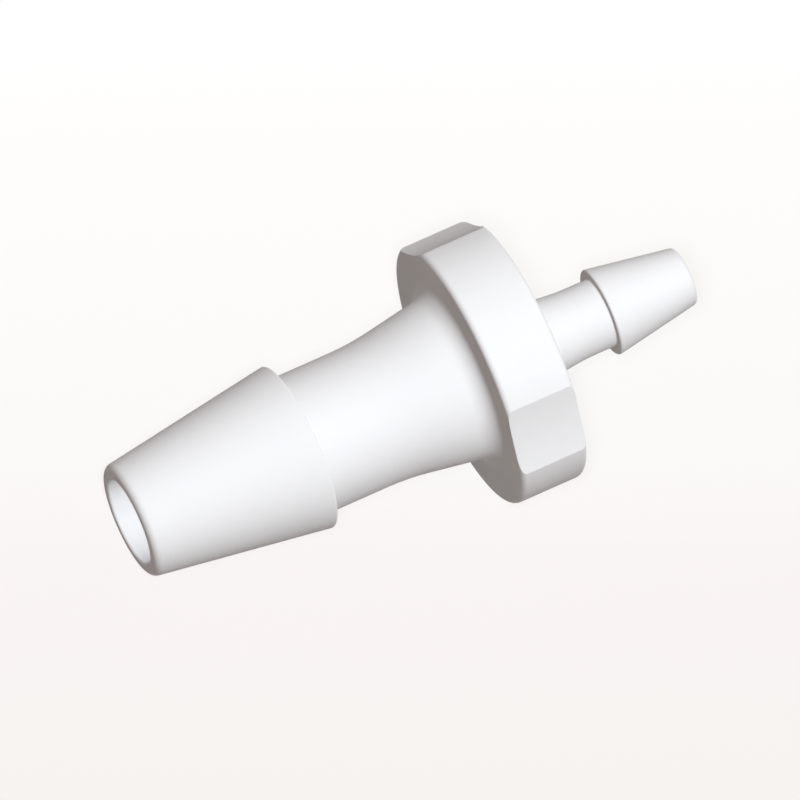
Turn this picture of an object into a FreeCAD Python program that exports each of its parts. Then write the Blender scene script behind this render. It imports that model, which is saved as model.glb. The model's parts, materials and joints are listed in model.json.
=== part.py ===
import FreeCAD, Part
import math
import os

# Hose barb reducer: a one-piece moulded fitting that joins a hose to a smaller one.
# It is worked out along its own axis, X, from the mouth of the large barb at x = 0 to the
# tip of the small barb. At the end it is laid down as it comes to rest. All sizes are in millimetres.

V = FreeCAD.Vector
AXIS = V(1, 0, 0)

# Large barb and its neck
LARGE_TIP_D = 5.25
LARGE_SHOULDER_D = 7.7
LARGE_NECK_D = 6.4
LARGE_BARB_LENGTH = 8.35
LARGE_NECK_LENGTH = 3.95
LARGE_FLARE_LENGTH = 3.9
LARGE_FLARE_ANGLE = 9.4
LARGE_FLARE_BLEND = 12.0
LARGE_ROOT_FILLET = 0.88
LARGE_TIP_ROUND = 0.36
LARGE_SHOULDER_ROUND = 0.1
LARGE_NECK_FILLET = 0.08

# Flange, with three hollow thumb flats cut in its rim
FLANGE_D = 12.3
FLANGE_THICKNESS = 3.24
FLANGE_RIM_ROUND = 0.26
SCALLOP_COUNT = 3
SCALLOP_HALF_ANGLE = 17.0
SCALLOP_RADIUS = 14.0

# Small barb and its neck
SMALL_ROOT_FILLET = 0.4
SMALL_FLARE_LENGTH = 2.3
SMALL_FLARE_ANGLE = 6.0
SMALL_FLARE_BLEND = 8.0
SMALL_NECK_LENGTH = 1.43
SMALL_NECK_D = 3.18
SMALL_SHOULDER_D = 4.06
SMALL_TIP_D = 2.66
SMALL_BARB_LENGTH = 4.13
SMALL_TIP_ROUND = 0.2
SMALL_SHOULDER_ROUND = 0.1
SMALL_NECK_FILLET = 0.06

# Passage: a large bore, a cone inside the flange and a small bore
LARGE_BORE_D = 4.0
SMALL_BORE_D = 1.8
LARGE_BORE_PAST_FACE = 0.9
BORE_CONE_HALF_ANGLE = 45.0
BORE_MOUTH_ROUND = 0.12
BORE_TIP_ROUND = 0.08

# Stations along the axis, and radii that follow from the sizes above
X_LARGE_SHOULDER = LARGE_BARB_LENGTH
X_LARGE_FLARE = X_LARGE_SHOULDER + LARGE_NECK_LENGTH
X_FLANGE_FRONT = X_LARGE_FLARE + LARGE_FLARE_LENGTH
X_FLANGE_BACK = X_FLANGE_FRONT + FLANGE_THICKNESS
X_SMALL_FLARE = X_FLANGE_BACK + SMALL_FLARE_LENGTH
X_SMALL_SHOULDER = X_SMALL_FLARE + SMALL_NECK_LENGTH
X_SMALL_TIP = X_SMALL_SHOULDER + SMALL_BARB_LENGTH

LARGE_FLARE_R = LARGE_NECK_D / 2 + LARGE_FLARE_LENGTH * math.tan(math.radians(LARGE_FLARE_ANGLE))
SMALL_FLARE_R = SMALL_NECK_D / 2 + SMALL_FLARE_LENGTH * math.tan(math.radians(SMALL_FLARE_ANGLE))
FLANGE_R = FLANGE_D / 2
SCALLOP_HALF_WIDTH = FLANGE_R * math.sin(math.radians(SCALLOP_HALF_ANGLE))
SCALLOP_CHORD_R = FLANGE_R * math.cos(math.radians(SCALLOP_HALF_ANGLE))
SCALLOP_CENTRE_R = SCALLOP_CHORD_R + math.sqrt(SCALLOP_RADIUS ** 2 - SCALLOP_HALF_WIDTH ** 2)

X_BORE_CONE = X_FLANGE_FRONT + LARGE_BORE_PAST_FACE
BORE_CONE_LENGTH = (LARGE_BORE_D - SMALL_BORE_D) / 2 / math.tan(math.radians(BORE_CONE_HALF_ANGLE))


def corner_arc(before, corner, after, radius):
    """The arc of this radius that rounds the corner between two straight runs."""
    to_before = (before - corner).normalize()
    to_after = (after - corner).normalize()
    half_angle = to_before.getAngle(to_after) / 2
    setback = radius / math.tan(half_angle)
    towards_centre = (to_before + to_after).normalize()
    nearest = corner + towards_centre * (radius / math.sin(half_angle) - radius)
    return Part.Arc(corner + to_before * setback, nearest, corner + to_after * setback)


def revolved(corners):
    """A solid turned about the axis from corners (x, radius, rounding), first to last."""
    points = [V(x, 0, r) for x, r, rounding in corners]
    edges = []
    start = points[0]
    for i in range(1, len(points) - 1):
        rounding = corners[i][2]
        if rounding:
            arc = corner_arc(points[i - 1], points[i], points[i + 1], rounding)
            edges.append(Part.LineSegment(start, arc.StartPoint).toShape())
            edges.append(arc.toShape())
            start = arc.EndPoint
        else:
            edges.append(Part.LineSegment(start, points[i]).toShape())
            start = points[i]
    edges.append(Part.LineSegment(start, points[-1]).toShape())
    edges.append(Part.LineSegment(points[-1], points[0]).toShape())
    return Part.Face(Part.Wire(edges)).revolve(V(0, 0, 0), AXIS, 360)


def turned_body():
    """Both barbs, their necks and flares, and the round flange, as one turned form."""
    return revolved([
        (0, 0, 0),
        (0, LARGE_TIP_D / 2, LARGE_TIP_ROUND),
        (X_LARGE_SHOULDER, LARGE_SHOULDER_D / 2, LARGE_SHOULDER_ROUND),
        (X_LARGE_SHOULDER, LARGE_NECK_D / 2, LARGE_NECK_FILLET),
        (X_LARGE_FLARE, LARGE_NECK_D / 2, LARGE_FLARE_BLEND),
        (X_FLANGE_FRONT, LARGE_FLARE_R, LARGE_ROOT_FILLET),
        (X_FLANGE_FRONT, FLANGE_R, FLANGE_RIM_ROUND),
        (X_FLANGE_BACK, FLANGE_R, FLANGE_RIM_ROUND),
        (X_FLANGE_BACK, SMALL_FLARE_R, SMALL_ROOT_FILLET),
        (X_SMALL_FLARE, SMALL_NECK_D / 2, SMALL_FLARE_BLEND),
        (X_SMALL_SHOULDER, SMALL_NECK_D / 2, SMALL_NECK_FILLET),
        (X_SMALL_SHOULDER, SMALL_SHOULDER_D / 2, SMALL_SHOULDER_ROUND),
        (X_SMALL_TIP, SMALL_TIP_D / 2, SMALL_TIP_ROUND),
        (X_SMALL_TIP, 0, 0),
    ])


def scallops():
    """The round cutters of the thumb flats, evenly spaced, with the first of them straight below."""
    start = V(X_FLANGE_FRONT - FLANGE_RIM_ROUND, 0, -SCALLOP_CENTRE_R)
    reach = FLANGE_THICKNESS + 2 * FLANGE_RIM_ROUND
    cutters = []
    for i in range(SCALLOP_COUNT):
        cutter = Part.makeCylinder(SCALLOP_RADIUS, reach, start, AXIS)
        cutter.rotate(V(0, 0, 0), AXIS, i * 360 / SCALLOP_COUNT)
        cutters.append(cutter)
    return cutters


def passage():
    """The way through: its two ends open outwards in a small rounding."""
    large_r, small_r = LARGE_BORE_D / 2, SMALL_BORE_D / 2
    past = 1.0
    body = revolved([
        (0, 0, 0),
        (0, large_r, 0),
        (X_BORE_CONE, large_r, 0),
        (X_BORE_CONE + BORE_CONE_LENGTH, small_r, 0),
        (X_SMALL_TIP, small_r, 0),
        (X_SMALL_TIP, 0, 0),
    ])
    mouth = revolved([
        (-past, 0, 0),
        (-past, large_r + BORE_MOUTH_ROUND + past, 0),
        (0, large_r + BORE_MOUTH_ROUND + past, 0),
        (0, large_r, BORE_MOUTH_ROUND),
        (past, large_r, 0),
        (past, 0, 0),
    ])
    tip = revolved([
        (X_SMALL_TIP - past, 0, 0),
        (X_SMALL_TIP - past, small_r, 0),
        (X_SMALL_TIP, small_r, BORE_TIP_ROUND),
        (X_SMALL_TIP, small_r + BORE_TIP_ROUND + past, 0),
        (X_SMALL_TIP + past, small_r + BORE_TIP_ROUND + past, 0),
        (X_SMALL_TIP + past, 0, 0),
    ])
    return body.fuse([mouth, tip])


def tip_depth(angle):
    """How far the rounded large tip reaches below the middle of its mouth, when the axis climbs."""
    taper = math.atan2((LARGE_SHOULDER_D - LARGE_TIP_D) / 2, LARGE_BARB_LENGTH)
    centre_x = LARGE_TIP_ROUND
    centre_r = LARGE_TIP_D / 2 + LARGE_TIP_ROUND * (math.tan(taper) - 1 / math.cos(taper))
    return centre_r * math.cos(angle) - centre_x * math.sin(angle) + LARGE_TIP_ROUND


def scallop_depth(angle):
    """How far the end of a scallop reaches below the middle of the mouth, along the rounded rim."""
    depths = []
    for step in range(91):
        turn = math.radians(step)
        x = X_FLANGE_FRONT + FLANGE_RIM_ROUND * (1 - math.sin(turn))
        r = FLANGE_R - FLANGE_RIM_ROUND * (1 - math.cos(turn))
        below = (SCALLOP_CENTRE_R ** 2 - SCALLOP_RADIUS ** 2 + r ** 2) / (2 * SCALLOP_CENTRE_R)
        depths.append(below * math.cos(angle) - x * math.sin(angle))
    return max(depths)


def rest_incline():
    """Angle of the axis when the large tip and both ends of a scallop lie on a level surface."""
    low, high = 0.0, math.radians(45)
    for step in range(50):
        angle = (low + high) / 2
        if scallop_depth(angle) > tip_depth(angle):
            low = angle
        else:
            high = angle
    return math.degrees(angle)


def laid_down(solid):
    """The fitting at rest, with the middle of its footprint at the origin and the floor at z = 0."""
    solid.rotate(V(0, 0, 0), V(0, 1, 0), -rest_incline())
    box = solid.optimalBoundingBox(False, False)
    solid.translate(V(-box.Center.x, -box.Center.y, -box.ZMin))
    return solid


def reducer():
    """The whole moulding: the turned form, with its scallops and its passage cut."""
    solid = turned_body().cut(scallops()).cut(passage()).removeSplitter()
    return laid_down(solid.Solids[0])


os.makedirs("parts", exist_ok=True)
body = reducer()
body.exportStep("parts/reducer_body.step")
print("solids", len(body.Solids), "valid", body.isValid(), "volume mm3", round(body.Volume, 2))
print("incline", round(rest_incline(), 3), "box", body.optimalBoundingBox(False, False))
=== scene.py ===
# %% [markdown]
# A hose barb reducer, dressed for its picture.
#
# The real thing is a single moulding of white plastic, about as long as the last joint of a thumb.
# One end takes a wide hose, the other a narrow one, and a thick flange with three hollow flats sits
# between them. The construction model already fixes where everything is. This script makes the
# surface that is seen, its plastic, the floor it lies on, the light and the camera.

# %% Load the fixed frame
import json
import math

import bpy
from mathutils import Matrix, Vector


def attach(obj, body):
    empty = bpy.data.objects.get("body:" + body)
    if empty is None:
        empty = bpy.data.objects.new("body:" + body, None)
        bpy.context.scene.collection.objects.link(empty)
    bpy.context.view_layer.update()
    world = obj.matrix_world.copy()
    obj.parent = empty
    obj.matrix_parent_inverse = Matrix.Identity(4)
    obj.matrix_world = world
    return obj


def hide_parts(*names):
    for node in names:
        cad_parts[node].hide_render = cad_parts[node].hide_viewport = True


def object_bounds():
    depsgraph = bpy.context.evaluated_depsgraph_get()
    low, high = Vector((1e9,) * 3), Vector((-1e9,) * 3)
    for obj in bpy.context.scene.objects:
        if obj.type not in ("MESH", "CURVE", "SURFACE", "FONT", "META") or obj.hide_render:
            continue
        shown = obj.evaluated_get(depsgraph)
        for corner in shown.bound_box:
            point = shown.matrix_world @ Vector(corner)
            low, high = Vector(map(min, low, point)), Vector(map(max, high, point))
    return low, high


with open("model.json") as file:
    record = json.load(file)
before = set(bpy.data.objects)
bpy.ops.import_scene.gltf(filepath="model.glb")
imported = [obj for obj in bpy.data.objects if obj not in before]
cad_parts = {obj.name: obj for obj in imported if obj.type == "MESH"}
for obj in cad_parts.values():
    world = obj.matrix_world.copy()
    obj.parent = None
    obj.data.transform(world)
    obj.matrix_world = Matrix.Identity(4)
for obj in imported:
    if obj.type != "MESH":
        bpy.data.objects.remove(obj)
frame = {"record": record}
cad_low, cad_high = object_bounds()
MM = 0.001
cad_size = [round((high - low) / MM, 2) for low, high in zip(cad_low, cad_high)]
print("construction model, mm:", cad_size)

# %% [markdown]
# Everything on this fitting is measured along one line, the axis of its passage. The record gives
# two points of it: the middle of the large mouth and the middle of the small tip. So the piece is
# made along a plain X axis first, which keeps its numbers simple, and is laid on that line later.

# %% Find the axis of the passage
mounts = {mount["name"]: mount for mount in frame["record"]["mounts"]}
mouth = Vector(mounts["large_barb"]["pos_m"])
small_tip = Vector(mounts["small_barb"]["pos_m"])
axis = (small_tip - mouth).normalized()
across = Vector((0, 1, 0))
section_up = axis.cross(across)
length = (small_tip - mouth).length
incline = math.atan2(axis.z, axis.x)
print("length, mm:", round(length / MM, 2), "incline, degrees:", round(math.degrees(incline), 2))

# %% [markdown]
# A designer draws this fitting as half of its section: a barb that grows from the tip to a sharp
# shoulder, a neck that the hose closes on, a flare with a soft start, and a fillet into the flange.
# Each corner is a station along the axis, a radius and how much it is rounded, all in millimetres.
# The same line comes back through the passage, so that turning it gives a closed wall.

# %% Name the sizes
TIP_D, SHOULDER_D, NECK_D, BORE_D = 5.25, 7.7, 6.4, 4.0
BARB_LENGTH, NECK_LENGTH, FLARE_LENGTH = 8.35, 3.95, 3.9
FLARE_ANGLE, FLARE_BLEND, ROOT_FILLET = math.radians(9.4), 12.0, 0.88
TIP_ROUND, SHOULDER_ROUND, NECK_FILLET, MOUTH_ROUND = 0.36, 0.1, 0.08, 0.12

SMALL_TIP_D, SMALL_SHOULDER_D, SMALL_NECK_D, SMALL_BORE_D = 2.66, 4.06, 3.18, 1.8
SMALL_BARB_LENGTH, SMALL_NECK_LENGTH, SMALL_FLARE_LENGTH = 4.13, 1.43, 2.3
SMALL_FLARE_ANGLE, SMALL_FLARE_BLEND, SMALL_ROOT_FILLET = math.radians(6.0), 8.0, 0.4
SMALL_TIP_ROUND, SMALL_NECK_FILLET, SMALL_MOUTH_ROUND = 0.2, 0.06, 0.08

FLANGE_D, FLANGE_THICKNESS, RIM_ROUND = 12.3, 3.24, 0.26
BORE_PAST_FACE = 0.9

x_shoulder = BARB_LENGTH
x_flare = x_shoulder + NECK_LENGTH
x_front = x_flare + FLARE_LENGTH
x_back = x_front + FLANGE_THICKNESS
x_small_flare = x_back + SMALL_FLARE_LENGTH
x_small_shoulder = x_small_flare + SMALL_NECK_LENGTH
x_end = x_small_shoulder + SMALL_BARB_LENGTH
x_cone = x_front + BORE_PAST_FACE
x_cone_end = x_cone + (BORE_D - SMALL_BORE_D) / 2

flare_r = NECK_D / 2 + FLARE_LENGTH * math.tan(FLARE_ANGLE)
small_flare_r = SMALL_NECK_D / 2 + SMALL_FLARE_LENGTH * math.tan(SMALL_FLARE_ANGLE)

section = [
    (0, TIP_D / 2, TIP_ROUND),
    (x_shoulder, SHOULDER_D / 2, SHOULDER_ROUND),
    (x_shoulder, NECK_D / 2, NECK_FILLET),
    (x_flare, NECK_D / 2, FLARE_BLEND),
    (x_front, flare_r, ROOT_FILLET),
    (x_front, FLANGE_D / 2, RIM_ROUND),
    (x_back, FLANGE_D / 2, RIM_ROUND),
    (x_back, small_flare_r, SMALL_ROOT_FILLET),
    (x_small_flare, SMALL_NECK_D / 2, SMALL_FLARE_BLEND),
    (x_small_shoulder, SMALL_NECK_D / 2, SMALL_NECK_FILLET),
    (x_small_shoulder, SMALL_SHOULDER_D / 2, SHOULDER_ROUND),
    (x_end, SMALL_TIP_D / 2, SMALL_TIP_ROUND),
    (x_end, SMALL_BORE_D / 2, SMALL_MOUTH_ROUND),
    (x_cone_end, SMALL_BORE_D / 2, 0),
    (x_cone, BORE_D / 2, 0),
    (0, BORE_D / 2, MOUTH_ROUND),
]
print("corners in the section:", len(section), "overall length, mm:", round(x_end, 2))

# %% [markdown]
# A smooth surface shades badly if a long flat band meets a tight rounding, because the shading is
# blended from ring to ring. A moulded edge looks right when each run has a ring close to either
# end, so the roundings turn quickly and the flats stay flat. Long runs get a few rings between.

# %% Round the corners of the section
ARC_STEP = math.radians(9)
HOLD = 0.04
LONGEST_RUN = 0.9


def rounded(before, corner, after, radius):
    """The points of the arc that rounds one corner."""
    if not radius:
        return [corner]
    back, on = (before - corner).normalized(), (after - corner).normalized()
    half = back.angle(on) / 2
    middle = corner + (back + on).normalized() * radius / math.sin(half)
    start = corner + back * radius / math.tan(half) - middle
    turn = math.copysign(math.pi - 2 * half, back.cross(on))
    steps = max(4, math.ceil(abs(turn) / ARC_STEP))
    points = []
    for i in range(steps + 1):
        angle = -turn * i / steps
        points.append(middle + Matrix.Rotation(angle, 2) @ start)
    return points


def run_between(start, end):
    """Points inside a straight run: one near each end, and a few between on a long one."""
    span = (end - start).length
    if span < 4 * HOLD:
        return []
    steps = max(1, math.ceil((span - 2 * HOLD) / LONGEST_RUN))
    shares = [(HOLD + (span - 2 * HOLD) * i / steps) / span for i in range(steps + 1)]
    return [start.lerp(end, share) for share in shares]


def section_points():
    """The points of the whole section, in order."""
    corners = [Vector((x, r)) for x, r, rounding in section]
    arcs = []
    for i, corner in enumerate(section):
        arcs.append(rounded(corners[i - 1], corners[i], corners[(i + 1) % len(corners)], corner[2]))
    points = []
    for i, arc in enumerate(arcs):
        points += arc + run_between(arc[-1], arcs[(i + 1) % len(arcs)][0])
    return points


outline = section_points()
print("rings round the fitting:", len(outline))

# %% [markdown]
# The section becomes a closed loop of edges, the one thing that the node tree needs to be given.
# Its X is the station along the axis and its Z the radius, in metres.

# %% Draw the section as a loop of edges
section_mesh = bpy.data.meshes.new("section_loop")
loop = [(p.x * MM, 0, p.y * MM) for p in outline]
section_mesh.from_pydata(loop, [(i, (i + 1) % len(loop)) for i in range(len(loop))], [])
fitting = bpy.data.objects.new("reducer_moulding", section_mesh)
bpy.context.scene.collection.objects.link(fitting)
print("edges in the section loop:", len(section_mesh.edges))

# %% [markdown]
# Turning could be done with a Screw modifier, but the flange isn't round: three hollow flats are
# cut in its rim, so that a thumb can hold it while a hose is pushed on. A node tree can do both.
# It is built one small step at a time, and five helpers keep that readable. They add a node, fill
# a socket, do a sum, and fetch or keep a number on every point.

# %% Write helpers for building a node tree
def add(tree, kind, **settings):
    node = tree.nodes.new(kind)
    for name, value in settings.items():
        setattr(node, name, value)
    return node


def feed(tree, socket, value):
    """Links an output to a socket, or sets the socket to a plain value."""
    if isinstance(value, bpy.types.NodeSocket):
        tree.links.new(value, socket)
    else:
        socket.default_value = value


def calc(tree, operation, *values):
    node = add(tree, "ShaderNodeMath", operation=operation)
    for i, value in enumerate(values):
        feed(tree, node.inputs[i], value)
    return node.outputs[0]


def stored(tree, name):
    node = add(tree, "GeometryNodeInputNamedAttribute", data_type="FLOAT")
    node.inputs["Name"].default_value = name
    return node.outputs["Attribute"]


def store(tree, geometry, name, value):
    node = add(tree, "GeometryNodeStoreNamedAttribute", data_type="FLOAT", domain="POINT")
    feed(tree, node.inputs["Geometry"], geometry)
    node.inputs["Name"].default_value = name
    feed(tree, node.inputs["Value"], value)
    return node.outputs["Geometry"]


# %% [markdown]
# Curve to Mesh lays the loop along a ring of points and so makes all the faces. Set Position then
# puts each point at its own station, radius and angle, which the points bring along under names.
# The loop runs so that the faces come out looking inwards. Flip Faces turns them before anything
# is cut, because a Boolean tells inside from outside by the way the faces look.

# %% Turn the section in the tree
def turned_wall(tree, given):
    """The section turned about X, with its faces outwards."""
    # the section's points keep their station and radius
    place = add(tree, "ShaderNodeSeparateXYZ")
    feed(tree, place.inputs[0], add(tree, "GeometryNodeInputPosition").outputs[0])
    section_geometry = store(tree, given["Section"], "station", place.outputs["X"])
    section_geometry = store(tree, section_geometry, "reach", place.outputs["Z"])
    section_curve = add(tree, "GeometryNodeMeshToCurve")
    feed(tree, section_curve.inputs["Mesh"], section_geometry)

    # the ring's points keep their angle from straight down
    ring = add(tree, "GeometryNodeCurvePrimitiveCircle", mode="RADIUS")
    feed(tree, ring.inputs["Resolution"], given["Steps Round"])
    index = add(tree, "GeometryNodeInputIndex").outputs[0]
    turn = calc(tree, "DIVIDE", calc(tree, "MULTIPLY", index, math.tau), given["Steps Round"])
    ring_curve = store(tree, ring.outputs["Curve"], "turn", turn)

    wall = add(tree, "GeometryNodeCurveToMesh")
    feed(tree, wall.inputs["Curve"], ring_curve)
    feed(tree, wall.inputs["Profile Curve"], section_curve.outputs["Curve"])

    point = add(tree, "ShaderNodeCombineXYZ")
    reach, angle = stored(tree, "reach"), stored(tree, "turn")
    aside = calc(tree, "SINE", angle)
    above = calc(tree, "SINE", calc(tree, "SUBTRACT", angle, math.pi / 2))
    feed(tree, point.inputs["X"], stored(tree, "station"))
    feed(tree, point.inputs["Y"], calc(tree, "MULTIPLY", reach, aside))
    feed(tree, point.inputs["Z"], calc(tree, "MULTIPLY", reach, above))
    moved = add(tree, "GeometryNodeSetPosition")
    feed(tree, moved.inputs["Geometry"], wall.outputs["Mesh"])
    feed(tree, moved.inputs["Position"], point.outputs[0])
    outward = add(tree, "GeometryNodeFlipFaces")
    feed(tree, outward.inputs["Mesh"], moved.outputs[0])
    return outward.outputs[0]


# %% [markdown]
# The cutter is a cylinder much wider than the flange, laid along X below it. It is made once, and
# its copies are swung round the axis, one for each hollow.

# %% Copy the cutter round the axis
def hollow_cutters(tree, given):
    """The cutters, evenly spaced, with the first of them straight below."""
    cutter = add(tree, "GeometryNodeMeshCylinder")
    feed(tree, cutter.inputs["Vertices"], given["Cutter Sides"])
    feed(tree, cutter.inputs["Radius"], given["Cutter Radius"])
    feed(tree, cutter.inputs["Depth"], given["Cutter Length"])
    below = add(tree, "GeometryNodeTransform")
    feed(tree, below.inputs["Geometry"], cutter.outputs["Mesh"])
    feed(tree, below.inputs["Translation"], given["Cutter Middle"])
    feed(tree, below.inputs["Rotation"], (0, math.pi / 2, 0))
    one = add(tree, "GeometryNodeGeometryToInstance")
    feed(tree, one.inputs[0], below.outputs[0])
    copies = add(tree, "GeometryNodeDuplicateElements", domain="INSTANCE")
    feed(tree, copies.inputs["Geometry"], one.outputs[0])
    feed(tree, copies.inputs["Amount"], given["Hollows"])

    pitch = calc(tree, "DIVIDE", math.tau, given["Hollows"])
    swing = add(tree, "ShaderNodeCombineXYZ")
    feed(tree, swing.inputs["X"], calc(tree, "MULTIPLY", copies.outputs["Duplicate Index"], pitch))
    swung = add(tree, "GeometryNodeRotateInstances")
    feed(tree, swung.inputs["Instances"], copies.outputs["Geometry"])
    feed(tree, swung.inputs["Rotation"], swing.outputs[0])
    feed(tree, swung.inputs["Local Space"], False)
    return swung.outputs[0]


# %% [markdown]
# The cuts leave crisp edges, while the rest of the rim keeps its rounding, as in the real mould.
# The shading has to say the same, so all is smooth but the edges that bend more than an angle.

# %% Keep the cut edges crisp
def crisply_shaded(tree, geometry, crisp_angle):
    """The same geometry, smooth everywhere but on sharp edges."""
    bend = add(tree, "GeometryNodeInputMeshEdgeAngle").outputs["Unsigned Angle"]
    soft = add(tree, "FunctionNodeCompare", data_type="FLOAT", operation="LESS_THAN")
    feed(tree, soft.inputs["A"], bend)
    feed(tree, soft.inputs["B"], crisp_angle)
    smooth_edges = add(tree, "GeometryNodeSetShadeSmooth", domain="EDGE")
    feed(tree, smooth_edges.inputs["Geometry"], geometry)
    feed(tree, smooth_edges.inputs["Shade Smooth"], soft.outputs[0])
    smooth_faces = add(tree, "GeometryNodeSetShadeSmooth", domain="FACE")
    feed(tree, smooth_faces.inputs["Geometry"], smooth_edges.outputs[0])
    return smooth_faces.outputs[0]


# %% [markdown]
# The tree has a named input for each of its sizes. It cuts the turned wall, shades it, lays it on
# the line of the passage and ends in real geometry with the plastic on it.

# %% Put the tree together
def turning_tree():
    """The tree that turns the section, cuts the hollows and lays the moulding down."""
    tree = bpy.data.node_groups.new("turn_and_cut_hollows", "GeometryNodeTree")
    inputs = {
        "NodeSocketGeometry": ["Section"],
        "NodeSocketInt": ["Steps Round", "Hollows", "Cutter Sides"],
        "NodeSocketFloat": ["Cutter Radius", "Cutter Length", "Incline", "Crisp Angle"],
        "NodeSocketVector": ["Cutter Middle", "Mouth"],
        "NodeSocketMaterial": ["Plastic"],
    }
    for kind, names in inputs.items():
        for name in names:
            tree.interface.new_socket(name, in_out="INPUT", socket_type=kind)
    tree.interface.new_socket("Moulding", in_out="OUTPUT", socket_type="NodeSocketGeometry")
    given = add(tree, "NodeGroupInput").outputs
    result = add(tree, "NodeGroupOutput").inputs["Moulding"]

    cut = add(tree, "GeometryNodeMeshBoolean", operation="DIFFERENCE", solver="MANIFOLD")
    feed(tree, cut.inputs["Mesh 1"], turned_wall(tree, given))
    feed(tree, cut.inputs["Mesh 2"], hollow_cutters(tree, given))
    shaded = crisply_shaded(tree, cut.outputs["Mesh"], given["Crisp Angle"])

    tilt = add(tree, "ShaderNodeCombineXYZ")
    feed(tree, tilt.inputs["Y"], calc(tree, "MULTIPLY", given["Incline"], -1.0))
    turned = add(tree, "FunctionNodeEulerToRotation")
    feed(tree, turned.inputs[0], tilt.outputs[0])
    laid = add(tree, "GeometryNodeTransform")
    feed(tree, laid.inputs["Geometry"], shaded)
    feed(tree, laid.inputs["Translation"], given["Mouth"])
    feed(tree, laid.inputs["Rotation"], turned.outputs[0])

    real = add(tree, "GeometryNodeRealizeInstances")
    feed(tree, real.inputs["Geometry"], laid.outputs[0])
    clad = add(tree, "GeometryNodeSetMaterial")
    feed(tree, clad.inputs["Geometry"], real.outputs[0])
    feed(tree, clad.inputs["Material"], given["Plastic"])
    feed(tree, result, clad.outputs[0])
    return tree


turning = turning_tree()
print("node tree:", turning.name, "nodes:", len(turning.nodes))

# %% [markdown]
# The plastic is a natural white polypropylene: satin, a little waxy, never mirror bright.
# A mould is polished but not perfect, so its skin has faint unevenness. Three fine patterns on
# object coordinates give that: a broad one in the colour, a finer one in the roughness and the
# finest in a shallow bump. A little light also sinks in below the surface.

# %% Mix the white plastic
WHITE = (0.965, 0.963, 0.96, 1)
SHADE_OF_WHITE = (0.95, 0.947, 0.942, 1)
SMOOTHEST, ROUGHEST = 0.56, 0.64
BROAD, FINE, FINEST = 260, 1400, 9000
BUMP_DEPTH = 0.02 * MM
SINKS_IN = (0.5 * MM, 0.45 * MM, 0.4 * MM)


def patterned(tree, scale, detail, low, high):
    """Noise on object coordinates, brought between two values."""
    where = add(tree, "ShaderNodeTexCoord")
    noise = add(tree, "ShaderNodeTexNoise")
    noise.inputs["Scale"].default_value = scale
    noise.inputs["Detail"].default_value = detail
    tree.links.new(where.outputs["Object"], noise.inputs["Vector"])
    spread = add(tree, "ShaderNodeMapRange")
    spread.inputs["From Min"].default_value = 0.3
    spread.inputs["From Max"].default_value = 0.7
    spread.inputs["To Min"].default_value = low
    spread.inputs["To Max"].default_value = high
    tree.links.new(noise.outputs["Fac"], spread.inputs["Value"])
    return spread.outputs[0]


def white_plastic():
    """The moulding's plastic."""
    material = bpy.data.materials.new("white_polypropylene")
    material.use_nodes = True
    tree = material.node_tree
    skin = tree.nodes["Principled BSDF"]
    tint = add(tree, "ShaderNodeMix", data_type="RGBA")
    tint.inputs["A"].default_value = WHITE
    tint.inputs["B"].default_value = SHADE_OF_WHITE
    tree.links.new(patterned(tree, BROAD, 2, 0, 1), tint.inputs["Factor"])
    tree.links.new(tint.outputs["Result"], skin.inputs["Base Color"])
    tree.links.new(patterned(tree, FINE, 3, SMOOTHEST, ROUGHEST), skin.inputs["Roughness"])
    bump = add(tree, "ShaderNodeBump")
    bump.inputs["Strength"].default_value = 0.12
    bump.inputs["Distance"].default_value = BUMP_DEPTH
    tree.links.new(patterned(tree, FINEST, 2, 0, 1), bump.inputs["Height"])
    tree.links.new(bump.outputs["Normal"], skin.inputs["Normal"])
    skin.inputs["IOR"].default_value = 1.49
    skin.inputs["Specular IOR Level"].default_value = 0.3
    skin.inputs["Subsurface Weight"].default_value = 0.1
    skin.inputs["Subsurface Radius"].default_value = SINKS_IN
    skin.inputs["Subsurface Scale"].default_value = 1.0
    return material


plastic = white_plastic()
print("plastic:", plastic.name, "nodes:", len(plastic.node_tree.nodes))

# %% [markdown]
# Now the sizes go in as the inputs of one modifier, by each socket's identifier. The cutter stands
# so far out that it takes just 17 degrees of the rim on either side of its middle. 360 steps round
# keep the outline smooth in a close view. The result is kept as a plain mesh, because what comes
# after this script reads meshes and not node trees.

# %% Turn the section into the moulding
STEPS_ROUND = 360
CUTTER_SIDES = 480
CRISP_ANGLE = math.radians(20)
HOLLOWS = 3
HOLLOW_HALF_ANGLE = math.radians(17.0)
HOLLOW_RADIUS = 14.0

chord_r = FLANGE_D / 2 * math.cos(HOLLOW_HALF_ANGLE)
half_width = FLANGE_D / 2 * math.sin(HOLLOW_HALF_ANGLE)
hollow_centre = chord_r + math.sqrt(HOLLOW_RADIUS ** 2 - half_width ** 2)
settings = {
    "Steps Round": STEPS_ROUND,
    "Hollows": HOLLOWS,
    "Cutter Sides": CUTTER_SIDES,
    "Cutter Radius": HOLLOW_RADIUS * MM,
    "Cutter Length": (FLANGE_THICKNESS + 2 * RIM_ROUND) * MM,
    "Cutter Middle": Vector(((x_front + x_back) / 2, 0, -hollow_centre)) * MM,
    "Incline": incline,
    "Crisp Angle": CRISP_ANGLE,
    "Mouth": mouth,
    "Plastic": plastic,
}
modifier = fitting.modifiers.new("turning", "NODES")
modifier.node_group = turning
for item in turning.interface.items_tree:
    if item.name in settings:
        modifier[item.identifier] = settings[item.name]

bpy.context.view_layer.update()
evaluated = fitting.evaluated_get(bpy.context.evaluated_depsgraph_get())
moulded_mesh = bpy.data.meshes.new_from_object(evaluated)
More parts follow.
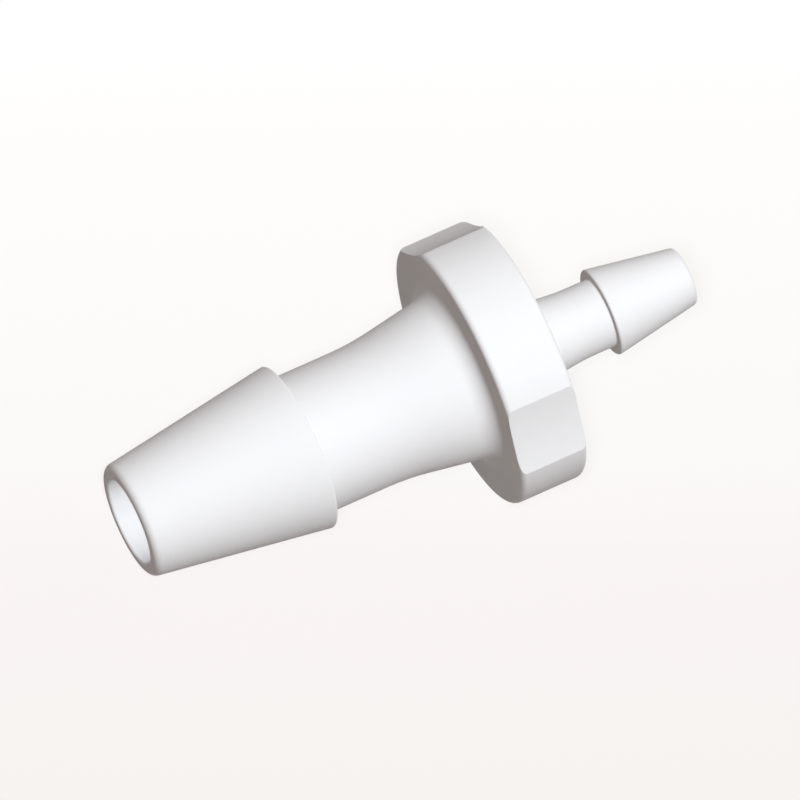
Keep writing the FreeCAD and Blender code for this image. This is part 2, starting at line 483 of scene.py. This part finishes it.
# the Boolean leaves an empty material slot before the plastic's
moulded_mesh.materials.pop(index=0)
fitting.modifiers.remove(modifier)
fitting.data = moulded_mesh
fitting.data.name = "reducer_moulding"
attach(fitting, "root")
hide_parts("reducer_body")
print("faces:", len(fitting.data.polygons), "materials:", fitting.data.materials.keys(),
      "slots used:", sorted({face.material_index for face in fitting.data.polygons}))

# %% [markdown]
# The picture looks straight along no axis of the fitting. Three angles say how it is turned:
# the axis climbs from left to right, its far end leans away from the viewer, and the fitting is
# rolled about its axis. They give its three directions as the camera sees them. Set against the
# same three in the scene, these say how the camera stands. It has no perspective, so one number
# gives the scale.

# %% Set up the camera
PICTURE = 800
PIXEL = 0.04372 * MM
MOUTH_PIXEL = (128.5, 522.1)
CLIMB = math.radians(23.92)
LEAN_AWAY = math.radians(13.1)
ROLL = math.radians(20.2)
CAMERA_DISTANCE = 0.2

shortened = math.cos(LEAN_AWAY)
axis_seen = Vector((shortened * math.cos(CLIMB), shortened * math.sin(CLIMB), -math.sin(LEAN_AWAY)))
nearest_side = (Vector((0, 0, 1)) - axis_seen * axis_seen.z).normalized()
far_side = nearest_side.cross(axis_seen)
up_seen = nearest_side * math.cos(ROLL) + far_side * math.sin(ROLL)
across_seen = up_seen.cross(axis_seen)
seen = Matrix((axis_seen, across_seen, up_seen)).transposed()
standing = Matrix((axis, across, section_up)).transposed()
facing = standing @ seen.transposed()

camera = bpy.data.objects.new("camera", bpy.data.cameras.new("camera"))
bpy.context.scene.collection.objects.link(camera)
bpy.context.scene.camera = camera
camera.data.type = "ORTHO"
camera.data.ortho_scale = PICTURE * PIXEL
camera.data.clip_start, camera.data.clip_end = 0.001, 1.0
right = (MOUTH_PIXEL[0] - PICTURE / 2) * PIXEL
up = (PICTURE / 2 - MOUTH_PIXEL[1]) * PIXEL
eye = mouth - facing @ Vector((right, up, -CAMERA_DISTANCE))
camera.matrix_world = Matrix.Translation(eye) @ facing.to_4x4()
toward_viewer = facing @ Vector((0, 0, 1))
print("elevation, degrees:", round(math.degrees(math.asin(toward_viewer.z)), 1))

# %% [markdown]
# The fitting lies on a pale sheet. One plane is enough. What the camera sees of it is mostly a soft
# ramp of colour with its own glow, which no lamp can spoil: white at the top of the picture and a
# little greyer and warmer at the bottom. The rest is the light that falls on it, so that the
# fitting's shadow shows. Gloss mirrors the same sheet. To all other light it is a plain floor.

# %% Lay the floor
FLOOR_ALBEDO = (0.75, 0.735, 0.72, 1)
GLOW = 1.131
GLOW_SHARE = 0.7
HALF_FLOOR = 0.6
# places from the bottom of the picture to the top, and the colour the floor glows with there,
# greyer and warmer towards the bottom
FLOOR_GLOW_RAMP = [
    (0, (0.761, 0.718, 0.687, 1)),
    (0.15, (0.784, 0.741, 0.712, 1)),
    (0.375, (0.814, 0.751, 0.75, 1)),
    (0.5, (0.827, 0.816, 0.793, 1)),
    (0.84, (0.872, 0.857, 0.828, 1)),
    (1, (0.893, 0.892, 0.892, 1)),
]


def background_rays(tree):
    """One for rays from the camera and off gloss or through a clear material, and else zero."""
    rays = add(tree, "ShaderNodeLightPath").outputs
    seen_or_mirrored = calc(tree, "MAXIMUM", rays["Is Camera Ray"], rays["Is Glossy Ray"])
    return calc(tree, "MAXIMUM", seen_or_mirrored, rays["Is Transmission Ray"])


def floor_material():
    """A pale floor that glows with a ramp of colour, upright in the picture."""
    material = bpy.data.materials.new("pale_floor")
    material.use_nodes = True
    tree = material.node_tree
    tree.nodes.clear()
    output = add(tree, "ShaderNodeOutputMaterial")
    where = add(tree, "ShaderNodeTexCoord")
    turn = add(tree, "ShaderNodeMapping")
    up_on_floor = facing @ Vector((0, 1, 0))
    turn.inputs["Rotation"].default_value = (0, 0, -math.atan2(up_on_floor.y, up_on_floor.x))
    tree.links.new(where.outputs["Object"], turn.inputs["Vector"])
    split = add(tree, "ShaderNodeSeparateXYZ")
    tree.links.new(turn.outputs["Vector"], split.inputs[0])
    half_picture_on_floor = PICTURE * PIXEL / 2 / toward_viewer.z
    share = add(tree, "ShaderNodeMapRange")
    share.inputs["From Min"].default_value = -half_picture_on_floor
    share.inputs["From Max"].default_value = half_picture_on_floor
    tree.links.new(split.outputs["X"], share.inputs["Value"])
    ramp = add(tree, "ShaderNodeValToRGB")
    stops = ramp.color_ramp.elements
    stops[0].color, stops[-1].color = FLOOR_GLOW_RAMP[0][1], FLOOR_GLOW_RAMP[-1][1]
    for place, colour in FLOOR_GLOW_RAMP[1:-1]:
        stops.new(place).color = colour
    tree.links.new(share.outputs[0], ramp.inputs["Fac"])
    lit = add(tree, "ShaderNodeBsdfDiffuse")
    lit.inputs["Color"].default_value = FLOOR_ALBEDO
    glowing = add(tree, "ShaderNodeEmission")
    tree.links.new(ramp.outputs["Color"], glowing.inputs["Color"])
    glowing.inputs["Strength"].default_value = GLOW
    both = add(tree, "ShaderNodeMixShader")
    feed(tree, both.inputs["Fac"], calc(tree, "MULTIPLY", background_rays(tree), GLOW_SHARE))
    tree.links.new(lit.outputs[0], both.inputs[1])
    tree.links.new(glowing.outputs[0], both.inputs[2])
    tree.links.new(both.outputs[0], output.inputs["Surface"])
    return material


corners = [(x * HALF_FLOOR, y * HALF_FLOOR, 0) for x, y in ((-1, -1), (1, -1), (1, 1), (-1, 1))]
floor_mesh = bpy.data.meshes.new("floor")
floor_mesh.from_pydata(corners, [], [(0, 1, 2, 3)])
floor_mesh.materials.append(floor_material())
floor = bpy.data.objects.new("floor", floor_mesh)
bpy.context.scene.collection.objects.link(floor)
print("floor, m:", 2 * HALF_FLOOR, "across")

# %% [markdown]
# The light is plain and soft. It comes square on to the fitting's long axis from the camera's side,
# so every barb and neck is brightest along its middle and falls off evenly to both edges. Most of
# it stops at the first surface, which keeps the flange's two faces quiet, and a part bounces on.
# None of it shows in the gloss, where a pale room gives the sheen instead, so the brightest white
# stays just below full white.
#
# Three more lamps use light linking, by which a lamp reaches only the objects of one collection.
# Two are for the sides that the camera doesn't see, the far side and the flange's back face, and
# keep them from going grey in other views. The third reaches only the floor and is the only lamp
# with a shadow. It shines from the camera, so the shadow hides behind the fitting, and in other
# views it shows where the fitting lies.

# %% Light it
LAMP_DISTANCE = 0.5
LAMP_COLOUR = (0.95, 1.0, 1.045)


def lamp(name, direction, level, bounces=0, size=0.1):
    """A square lamp without shadow or gloss. White that faces it comes out at the given level."""
    data = bpy.data.lights.new(name, "AREA")
    data.shape = "SQUARE"
    data.size = size
    data.color = LAMP_COLOUR
    data.energy = level * (math.pi * LAMP_DISTANCE) ** 2
    data.use_shadow = False
    data.cycles.max_bounces = bounces
    light = bpy.data.objects.new(name, data)
    bpy.context.scene.collection.objects.link(light)
    light.visible_glossy = False
    light.location = mouth + axis * length / 2 + direction.normalized() * LAMP_DISTANCE
    light.rotation_euler = direction.to_track_quat("Z", "Y").to_euler()
    return light


def link_light(light, thing):
    """Lets a lamp reach one object and nothing else."""
    reached = bpy.data.collections.new("reached_by_" + light.name)
    reached.objects.link(thing)
    light.light_linking.receiver_collection = reached


# how far the key light leans to the small end and to the far side
KEY_ALONG = math.radians(8)
KEY_ASIDE = math.radians(2)
END_BEHIND = math.radians(30)
square_on = nearest_side * math.cos(KEY_ASIDE) + far_side * math.sin(KEY_ASIDE)
key_side = facing @ (square_on * math.cos(KEY_ALONG) + axis_seen * math.sin(KEY_ALONG))
lamp("key_plain", key_side, 0.74)
lamp("key_bounced", key_side, 0.12, bounces=4)
link_light(lamp("back_fill", -toward_viewer, 0.22), fitting)
end_side = axis * math.cos(END_BEHIND) - toward_viewer * math.sin(END_BEHIND)
link_light(lamp("end_fill", end_side, 0.2), fitting)
shadow_maker = lamp("shadow_maker", toward_viewer, 0.5, size=0.06)
shadow_maker.data.use_shadow = True
link_light(shadow_maker, floor)

# %% [markdown]
# The room round it all is a dim warm glow as far as light goes, and white paper where a ray from
# the camera or off the plastic's gloss meets it. Standard keeps each colour as it is written.

# %% Put the room round it
ROOM_GLOW = (1.13, 0.965, 0.905, 1)
ROOM_LEVEL = 0.195
PAPER = (0.965, 0.956, 0.939, 1)

world = bpy.data.worlds.new("studio")
bpy.context.scene.world = world
world.use_nodes = True
room = world.node_tree
glow = room.nodes["Background"]
glow.inputs["Color"].default_value = ROOM_GLOW
glow.inputs["Strength"].default_value = ROOM_LEVEL
paper = add(room, "ShaderNodeBackground")
paper.inputs["Color"].default_value = PAPER
either = add(room, "ShaderNodeMixShader")
feed(room, either.inputs["Fac"], background_rays(room))
room.links.new(glow.outputs[0], either.inputs[1])
room.links.new(paper.outputs[0], either.inputs[2])
room.links.new(either.outputs[0], room.nodes["World Output"].inputs["Surface"])
bpy.context.scene.view_settings.view_transform = "Standard"
print("room:", world.name, "view transform:", bpy.context.scene.view_settings.view_transform)
